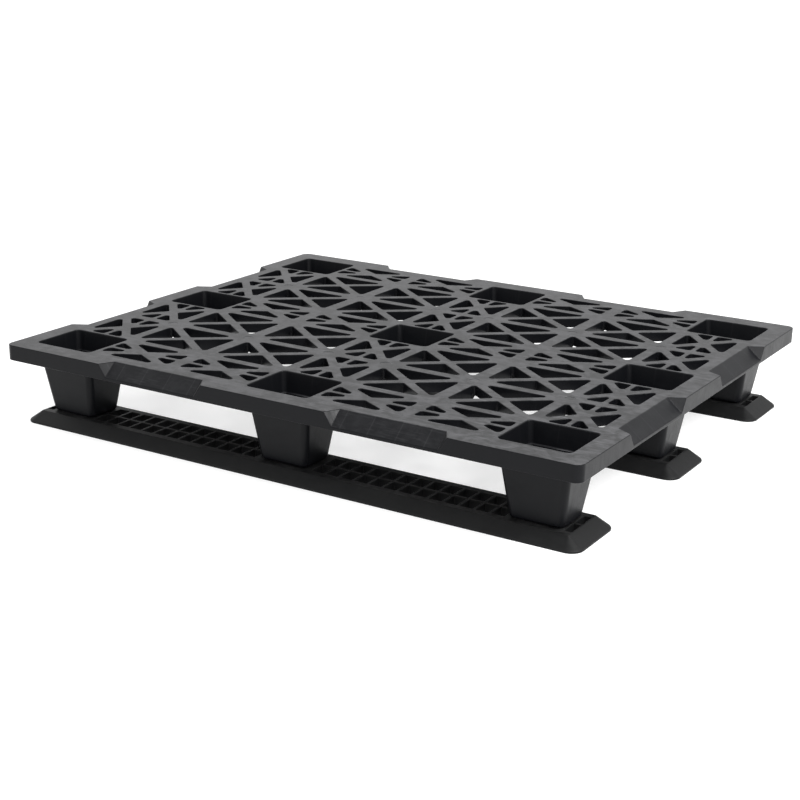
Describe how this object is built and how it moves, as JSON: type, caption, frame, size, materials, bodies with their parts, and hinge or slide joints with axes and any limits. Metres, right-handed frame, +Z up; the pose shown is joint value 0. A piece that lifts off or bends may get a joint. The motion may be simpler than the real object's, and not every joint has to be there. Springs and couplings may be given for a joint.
{
  "type": "plastic pallet",
  "caption": "Plastic pallet with an open lattice deck, hollow tapered legs and perforated runners, open to forks from every side.",
  "frame": {"origin": "on the ground under the middle of the pallet", "axes": "+X along the runners, +Y across them, +Z up"},
  "size_m": [1.2, 1, 0.16],
  "materials": {
    "deck_plastic": "satin moulded black plastic with fine grain and light scuffs",
    "leg_plastic": "satin moulded black plastic",
    "runner_plastic": "matte moulded black plastic"
  },
  "bodies": {
    "root": {"deck": "deck_plastic", "leg_front_left": "leg_plastic", "leg_front_middle": "leg_plastic", "leg_front_right": "leg_plastic", "leg_middle_left": "leg_plastic", "leg_centre": "leg_plastic", "leg_middle_right": "leg_plastic", "leg_back_left": "leg_plastic", "leg_back_middle": "leg_plastic", "leg_back_right": "leg_plastic", "runner_front": "runner_plastic", "runner_middle": "runner_plastic", "runner_back": "runner_plastic"}
  },
  "joints": []
}
